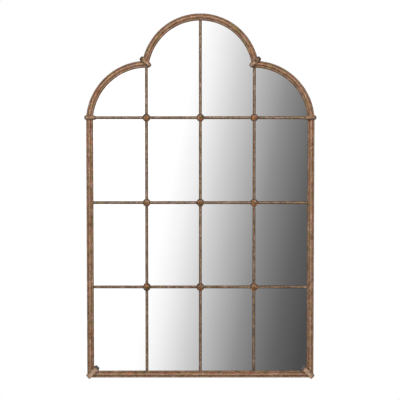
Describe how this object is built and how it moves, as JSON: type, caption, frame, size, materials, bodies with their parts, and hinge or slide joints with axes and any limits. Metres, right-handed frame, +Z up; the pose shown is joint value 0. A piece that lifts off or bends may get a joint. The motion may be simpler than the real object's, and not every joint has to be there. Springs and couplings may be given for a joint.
{
  "type": "arched wall mirror",
  "caption": "Tall wall mirror with an arched, moulded iron frame, crossing glazing bars with round bosses, clasps over the frame's joints, and rings and rubber pads behind for hanging.",
  "frame": {"origin": "on the wall plane, midway between the two hanging rings, at the height of their pivots", "axes": "+Z up, +Y into the wall, so the mirror faces -Y; +X to the right of someone who faces the mirror"},
  "size_m": [1.016, 0.0384, 1.6044],
  "materials": {
    "aged_frame": "aged rust-brown paint, worn and chipped",
    "worn_clasp": "aged paint worn to a light tan, dark at the edges",
    "aged_bar": "aged dark brown paint",
    "aged_boss": "aged rust-brown paint, lighter on the dome",
    "joint_plate": "mill finish",
    "zinc_screw": "zinc plated",
    "zinc_clip": "zinc plated",
    "zinc_hanger": "zinc plated",
    "zinc_ring": "zinc plated",
    "mirror_glass": "silvered 4 mm float glass",
    "hardboard": "plain hardboard",
    "black_rubber": "matt"
  },
  "bodies": {
    "mirror": {"stile_left": "aged_frame", "stile_right": "aged_frame", "bottom_rail": "aged_frame", "shoulder_arch_left": "aged_frame", "shoulder_arch_right": "aged_frame", "crown_arch": "aged_frame", "corner_clasp_left": "worn_clasp", "corner_clasp_right": "worn_clasp", "spring_clasp_left": "worn_clasp", "spring_clasp_right": "worn_clasp", "valley_clasp_left": "worn_clasp", "valley_clasp_right": "worn_clasp", "corner_key_left": "joint_plate", "corner_key_right": "joint_plate", "spring_splice_left": "joint_plate", "spring_splice_right": "joint_plate", "valley_splice_left": "joint_plate", "valley_splice_right": "joint_plate", "splice_screws": "zinc_screw", "vertical_bar_left": "aged_bar", "vertical_bar_centre": "aged_bar", "vertical_bar_right": "aged_bar", "horizontal_bar_lower": "aged_bar", "horizontal_bar_middle": "aged_bar", "horizontal_bar_upper": "aged_bar", "boss_lower_left": "aged_boss", "boss_lower_centre": "aged_boss", "boss_lower_right": "aged_boss", "boss_middle_left": "aged_boss", "boss_middle_centre": "aged_boss", "boss_middle_right": "aged_boss", "boss_upper_left": "aged_boss", "boss_upper_centre": "aged_boss", "boss_upper_right": "aged_boss", "boss_screws": "zinc_screw", "mirror_glass": "mirror_glass", "setting_blocks": "black_rubber", "backing_board": "hardboard", "retaining_clips": "zinc_clip", "clip_screws": "zinc_screw", "hanger_strap_left": "zinc_hanger", "hanger_strap_right": "zinc_hanger", "hanger_screws": "zinc_screw", "wall_pad_lower_left": "black_rubber", "wall_pad_lower_right": "black_rubber", "wall_pad_upper_left": "black_rubber", "wall_pad_upper_right": "black_rubber"},
    "left_ring": {"hanger_ring_left": "zinc_ring"},
    "right_ring": {"hanger_ring_right": "zinc_ring"}
  },
  "joints": [
    {"name": "left_ring_hinge", "type": "hinge", "parent": "mirror", "child": "left_ring", "pos_m": [-0.487, -0.004, 0], "axis": [1, 0, 0], "range_deg": [0, 180]},
    {"name": "right_ring_hinge", "type": "hinge", "parent": "mirror", "child": "right_ring", "pos_m": [0.487, -0.004, 0], "axis": [1, 0, 0], "range_deg": [0, 180]}
  ]
}
